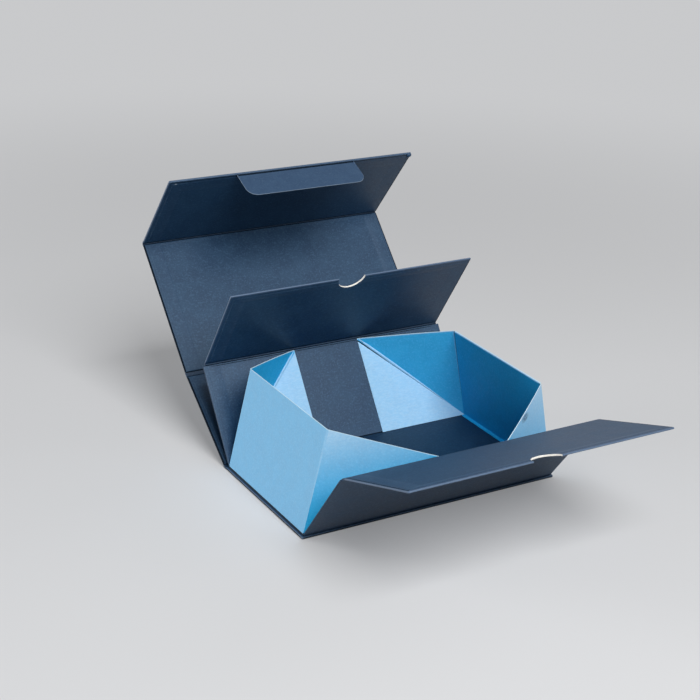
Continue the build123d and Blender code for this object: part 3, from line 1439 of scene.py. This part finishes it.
    def _half(self, draft: MeshDraft, corner: np.ndarray, rim: list[RimPoint]) -> None:
        """Add one half of the sheet to a draft.

        Args:
            draft: The mesh that is being drafted.
            corner: The corner that all its lines start from.
            rim: Its free edge.
        """

        def column(name: str) -> np.ndarray:
            """One value of all the points."""
            return np.array([getattr(point, name) for point in rim])

        # The third slot is the near-black painted shadow, used where points are marked dark.
        card, cut, wall = range(3)
        edge = column("place")
        lift = column("card")[:, None] * self.inward(edge, corner)
        shares = [*np.linspace(self.foot, 1 - 3 * self.cut_band, self.rays), 1 - self.cut_band, 1.0]
        outer, inner = [], []
        # The last two rings are painted highlights: a lighter band under the cut edge and the cut edge
        # itself.
        for share, rub in zip(shares, [0.0] * self.rays + [self.own(self.lip_highlight), self.cut_highlight]):
            points = corner + share * (edge - corner)
            if share == 1.0:
                points[:, 0] += self.end.value * column("flare")
            worn_and_lit = rub * column("rub_cut")
            # On a free facet the painted sheen fades into painted shade towards the corner.
            fade = np.where(column("facet"), share ** self.own(self.facet_shade_falloff), 1.0)
            outer.append(draft.ring(points * MM, np.maximum(worn_and_lit, fade * column("rub_out"))))
            inner.append(draft.ring((points + lift) * MM, np.maximum(worn_and_lit, column("rub_in"))))
        inside = [wall if a.dark or b.dark else card for a, b in zip(rim, rim[1:])]
        for k in range(len(shares) - 1):
            draft.bridge(outer[k], outer[k + 1], card, closed=False)
            draft.bridge(inner[k + 1], inner[k], inside, closed=False)
            draft.face([outer[k][0], outer[k + 1][0], inner[k + 1][0], inner[k][0]], cut)
            draft.face([outer[k + 1][-1], outer[k][-1], inner[k][-1], inner[k + 1][-1]], cut)
        free = len(rim) - sum(point.seam for point in rim)
        draft.bridge(outer[-1][:free], inner[-1][:free], cut, closed=False)
        draft.bridge(inner[0], outer[0], card, closed=False)

    def _margin(self, draft: MeshDraft) -> None:
        """Add the glue margin on the base, with a soft inner corner.

        Args:
            draft: The mesh that is being drafted.
        """
        z = self.sizes
        half = z.tray_depth / 2 - self.margin_inset
        x = z.tray_length / 2 - z.end_card
        reach, thick = z.glue_margin, z.end_card
        worn_in, worn_height = self.margin_edge
        profile = [(0.0, 0.0), (reach, 0.0), (reach, thick * worn_height), (reach - worn_in, thick)]
        profile += [(a, thick + b) for a, b in self.margin_corner]
        rings = []
        for y in (-half, half):
            points = np.array([(self.end.value * (x - a), y, z.base_top + b) for a, b in profile])
            rings.append(draft.ring(points * MM))
        card, cut = range(2)
        draft.loft(rings, [card], (cut, cut))

    def _crease(self, side: Side) -> np.ndarray:
        """Line of a gusset's crease on the inner face, from the corner to the wall's top.

        Args:
            side: Front or back half.

        Returns:
            Points in metres.
        """
        c = self.corners(side)
        corner = c["corner"]
        wall_in = np.cross(c["wall_top"] - corner, c["wall_foot"] - corner)
        middle = np.array((0.0, 0.0, c["top"][2]))
        wall_in *= np.sign(wall_in @ (middle - corner)) / np.linalg.norm(wall_in)
        shares = np.linspace(0, self.bead_end, self.line_steps)[1:]
        line = corner + np.outer(shares, c["wall_top"] - corner)
        lift = self.sizes.end_card + self.bead_lift * shares
        return (line + np.outer(lift, wall_in)) * MM

    def dress(self) -> None:
        """Let the pieces stand for the CAD node and stay with the tray."""
        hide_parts(f"{self.label}_end_sheet")
        for piece in self.pieces:
            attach(piece, "tray")


class GiftBox:
    """The whole box: outer case, tray, inner flaps, end sheets and the paper across the folds."""

    def __init__(self, sizes: BoxSizes, finishes: Finishes) -> None:
        """Place the panels from the joints of the frame.

        Args:
            sizes: Sizes of the box.
            finishes: Its finishes.
        """
        self.sizes = sizes
        self.finishes = finishes
        folds = {j["name"]: (j["pos_m"][1] / MM, j["pos_m"][2] / MM) for j in frame["joints"]}
        z = sizes
        paper = z.fold_paper / 2
        lean = math.radians(z.wall_lean)
        foot_y = z.tray_depth / 2 + (z.tray_board - paper) * math.cos(lean)
        foot_z = z.base_top - (z.tray_board - paper) * math.sin(lean)
        front_edge = (-z.tray_depth / 2 - z.case_front_overhang, paper)
        self.places = {
            "bottom": PanelPlace(front_edge, 0.0, Side.BACK),
            "spine": PanelPlace(folds["spine_fold"], z.spine_angle, Side.BACK),
            "lid": PanelPlace(folds["lid_fold"], z.lid_angle, Side.BACK),
            "front_flap": PanelPlace(folds["front_flap_fold"], z.front_flap_angle, Side.BACK),
            "tongue": PanelPlace(folds["tongue_fold"], z.tongue_angle, Side.BACK),
            "back_wall": PanelPlace((foot_y, foot_z), 90.0 - z.wall_lean, Side.BACK),
            "front_wall": PanelPlace((-foot_y, foot_z), 90.0 + z.wall_lean, Side.FRONT),
            "inner_back": PanelPlace(folds["inner_back_fold"], z.inner_back_angle, Side.BACK),
            "inner_front": PanelPlace(folds["inner_front_fold"], z.inner_front_angle, Side.FRONT),
        }

    def boards(self) -> list[WrappedBoard]:
        """The wrapped boards of the case and the tray.

        Returns:
            The boards, not built yet.
        """
        z, p = self.sizes, self.places
        near, right, far, left = Lane.NEAR, Lane.RIGHT, Lane.FAR, Lane.LEFT
        # Dark lanes, line lanes and dark edges below are painted shade on edges and lines that fall in
        # shadow.
        case = {
            "slot": "case_cover", "length": z.case_length, "board": z.case_board, "fold_gap": z.case_fold_gap,
            "near": Edge.HINGED, "far": Edge.HINGED, "dark_lanes": (left, right),
        }
        tray = {"slot": "tray_cover", "board": z.tray_board, "fold_gap": z.tray_fold_gap, "edge_radius": 0.5}
        wall = tray | {
            "length": z.tray_length, "reach": z.wall_reach, "near": Edge.CUT, "far": Edge.HINGED,
            "wear_and_sheen_level": 0.0, "dark_edge": True,
        }
        flap = tray | {
            "reach": z.inner_flap_reach, "near": Edge.HINGED, "far": Edge.WRAPPED, "dark_lanes": (right,),
            "notch_radius": z.thumb_notch_radius, "corner_radius": 0.8,
        }
        bottom = case | {
            "reach": z.bottom_reach, "near": Edge.WRAPPED, "wear_and_sheen_level": 0.5,
            "dark_lanes": (near, left, right), "dark_rows": (1, 6),
        }
        front_flap = case | {
            "reach": z.front_flap_reach, "far": Edge.WRAPPED, "wear_and_sheen_level": 0.5, "corner_radius": 1.2,
            "dark_lanes": (right,), "line_lanes": (far,),
        }
        inner_back = flap | {"length": z.inner_back_length, "notch_offset": z.back_notch_offset}
        inner_front = flap | {"length": z.inner_front_length, "line_lanes": (left,)}
        rows = [
            ("case_bottom", "tray", "bottom", bottom),
            ("case_spine", "spine", "spine", case | {"reach": z.spine_reach}),
            ("case_lid", "lid", "lid", case | {"reach": z.lid_reach}),
            ("case_front_flap", "front_flap", "front_flap", front_flap),
            ("back_wall", "tray", "back_wall", wall | {"line_lanes": (near, far)}),
            ("front_wall", "tray", "front_wall", wall),
            ("inner_back_flap", "inner_back", "inner_back", inner_back),
            ("inner_front_flap", "inner_front", "inner_front", inner_front),
        ]
        boards = []
        for node, body, panel, rest in rows:
            boards.append(WrappedBoard(f"{node}_board", body, node, place=p[panel], **rest))
        return boards

    def strips(self) -> list[FoldStrip]:
        """The paper across the folds.

        Returns:
            The strips, not built yet.
        """
        z, p = self.sizes, self.places
        inset = 0.2
        case = {"slot": "case_cover", "length": z.case_length - inset, "half_gap": z.case_fold_gap / 2}
        tray = {"slot": "tray_cover", "half_gap": z.tray_fold_gap / 2}
        back = tray | {"length": z.inner_back_length - inset}
        front = tray | {"length": z.inner_front_length - inset}
        tongue = {
            "slot": "tongue_card", "length": z.tongue_length - inset, "half_gap": 1.5, "bend": 1.0,
            "sag": 0.7, "half_thickness": 0.2, "tucked_half": 0.2, "tuck": 2.0, "lining_rise": 0.0,
        }
        rows = [
            ("spine_fold_paper", ("tray", "spine"), "bottom", "spine", case),
            ("lid_fold_paper", ("spine", "lid"), "spine", "lid", case),
            ("front_flap_fold_paper", ("lid", "front_flap"), "lid", "front_flap", case),
            ("tongue_fold_card", ("front_flap", "tongue"), "front_flap", "tongue", tongue),
            ("inner_back_fold_paper", ("tray", "inner_back"), "back_wall", "inner_back", back),
            ("inner_front_fold_paper", ("tray", "inner_front"), "front_wall", "inner_front", front),
        ]
        strips = []
        for name, bodies, panel, fold, rest in rows:
            before = replace(p[panel], fold=p[fold].fold)
            strips.append(FoldStrip(name, bodies, before=before, after=p[fold], **rest))
        return strips

    def build(self) -> None:
        """Build and dress every piece."""
        f, z, p = self.finishes, self.sizes, self.places
        for board in self.boards():
            board.build(f)
            board.dress()
            log.info("board %s on %s", board.name, board.body)
        for sub_part in (
            TuckTongue(p["tongue"], z.tongue_length, z.tongue_reach, z.tongue_card),
            CornerTuck(p["front_flap"], z.case_length, z.front_flap_reach),
        ):
            sub_part.build(f)
            sub_part.dress()
            log.info("front flap's %s", sub_part.piece.name)
        for strip in self.strips():
            strip.build(f)
            strip.dress()
            log.info("fold %s between %s and %s", strip.name, *strip.bodies)
        beads = CreaseBeads("crease_beads")
        for end in End:
            sheet = EndSheet(end, z)
            sheet.build(f, beads)
            sheet.dress()
            log.info("end sheet %s", sheet.label)
        base = frame["nodes"]["tray_base"]
        base.data.materials.clear()
        base.data.materials.append(f.base)
        log.info("tray base keeps its solid")


def seen_directly(tree: Tree) -> Socket:
    """Whether a ray comes from the camera, from a gloss or through a clear piece.

    Args:
        tree: The nodes of the floor or the sky.

    Returns:
        1 for such a ray and 0 for any other.
    """
    rays = tree.nodes.new("ShaderNodeLightPath").outputs
    total = rays["Is Camera Ray"]
    for kind in ("Is Glossy Ray", "Is Transmission Ray"):
        total = add_node(tree, "ShaderNodeMath", {0: total, 1: rays[kind]}, operation="ADD").outputs["Value"]
    return total


@dataclass(frozen=True)
class Softbox:
    """A large soft lamp that looks at a point over the box, in metres and watts."""

    name: str
    place: Triple
    size: float
    power: float
    aim: Triple = (0.0, 0.05, 0.06)

    def hang(self) -> None:
        """Make the lamp."""
        lamp = bpy.data.lights.new(self.name, "AREA")
        lamp.shape = "SQUARE"
        lamp.size = self.size
        lamp.energy = self.power
        holder = put_in_scene(self.name, lamp)
        holder.location = self.place
        holder.rotation_euler = (Vector(self.aim) - Vector(self.place)).to_track_quat("-Z", "Y").to_euler()


@dataclass
class Studio:
    """Floor, lamps and the camera at the photograph's viewing angle, in metres and degrees.

    Far off, the floor's own colour gives way to its glow, so that it runs into the sky without a line.
    """

    camera_place: Triple = (-0.60839, -0.93543, 0.56566)
    yaw: float = 31.185
    pitch: float = -22.459
    roll: float = 2.413
    lens: float = 80.52
    sensor: float = 36.0
    floor_size: float = 30.0
    floor_drop: float = -0.0003
    floor_colour: Triple = (0.5, 0.505, 0.515)
    floor_shade: float = 0.985
    shade_scale: float = 1.5
    shade_detail: float = 2.0
    shade_band: Pair = (0.3, 0.7)
    far_colour: Triple = (0.0, 0.0, 0.0)
    floor_glow: Pair = (0.2, 0.6)
    glow_reach: Pair = (0.4, 1.4)
    floor_bounce: Triple = (0.5, 0.5, 0.5)
    sky: Triple = (0.97, 0.98, 1.0)
    sky_strength: float = 0.01
    sky_seen: float = 0.6
    lamps: tuple[Softbox, ...] = (
        Softbox("key_softbox", (-0.1, -1.28, 1.56), 1.2, 43.2),
        Softbox("right_softbox", (1.8, 0.1, 0.9), 1.0, 4.6),
        Softbox("left_softbox", (-1.8, -0.3, 0.3), 0.56, 5.0),
        Softbox("back_left_softbox", (-1.4, 1.2, 0.4), 0.75, 14.3),
    )

    def floor(self) -> None:
        """Lay the floor."""
        half, z = self.floor_size / 2, self.floor_drop
        mesh = bpy.data.meshes.new("studio_floor")
        corners = [(x * half, y * half, z) for x, y in ((-1, -1), (1, -1), (1, 1), (-1, 1))]
        mesh.from_pydata(corners, [], [(0, 1, 2, 3)])
        sheet = NodeSheet("studio_floor")
        shade = sheet.spread(sheet.noise(self.shade_scale, self.shade_detail), *self.shade_band)
        pale = seen_directly(sheet.tree)
        reach = sheet.distance((0.0, 0.0, 0.0))
        shaded = tuple(c * self.floor_shade for c in self.floor_colour)
        colour = sheet.mix(shade, self.floor_colour, shaded)
        colour = sheet.mix(sheet.spread(reach, *self.glow_reach), colour, self.far_colour)
        colour = sheet.mix(pale, self.floor_bounce, colour)
        glow = sheet.maths("MULTIPLY", pale, sheet.spread(reach, *self.glow_reach, *self.floor_glow))
        sheet.shade(Base_Color=colour, Roughness=1.0, Specular_IOR_Level=0.0)
        sheet.shade(Emission_Strength=glow, Emission_Color=(*self.sky, 1.0))
        mesh.materials.append(sheet.material)
        put_in_scene("studio_floor", mesh)

    def light(self) -> None:
        """Light the box from the sky and the lamps."""
        world = bpy.data.worlds.new("studio")
        world.use_nodes = True
        tree = world.node_tree
        inputs = {"Value": seen_directly(tree), "To Min": self.sky_strength, "To Max": self.sky_seen}
        back = tree.nodes["Background"]
        feed(tree, back.inputs["Color"], (*self.sky, 1.0))
        feed(tree, back.inputs["Strength"], add_node(tree, "ShaderNodeMapRange", inputs).outputs["Result"])
        bpy.context.scene.world = world
        for lamp in self.lamps:
            lamp.hang()

    def camera(self) -> None:
        """Set up the camera from its turn, tilt and roll."""
        yaw, pitch, roll = (math.radians(a) for a in (self.yaw, self.pitch, self.roll))
        ahead = Vector((math.sin(yaw) * math.cos(pitch), math.cos(yaw) * math.cos(pitch), math.sin(pitch)))
        level = Vector((math.cos(yaw), -math.sin(yaw), 0.0))
        upright = level.cross(ahead)
        right = level * math.cos(roll) + upright * math.sin(roll)
        up = upright * math.cos(roll) - level * math.sin(roll)
        turn = Matrix((right, up, -ahead)).transposed()
        data = bpy.data.cameras.new("photo_camera")
        data.sensor_width = self.sensor
        data.lens = self.lens
        holder = put_in_scene("photo_camera", data)
        holder.matrix_world = Matrix.Translation(self.camera_place) @ turn.to_4x4()
        bpy.context.scene.camera = holder

    def build(self) -> None:
        """Build the studio."""
        self.floor()
        self.light()
        self.camera()
        bpy.context.scene.view_settings.view_transform = "Standard"


def main() -> None:
    """Build the box and its studio."""
    logging.basicConfig(level=logging.INFO, format="%(message)s")
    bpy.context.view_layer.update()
    GiftBox(BoxSizes(), Finishes()).build()
    Studio().build()


if __name__ == "__main__":
    main()
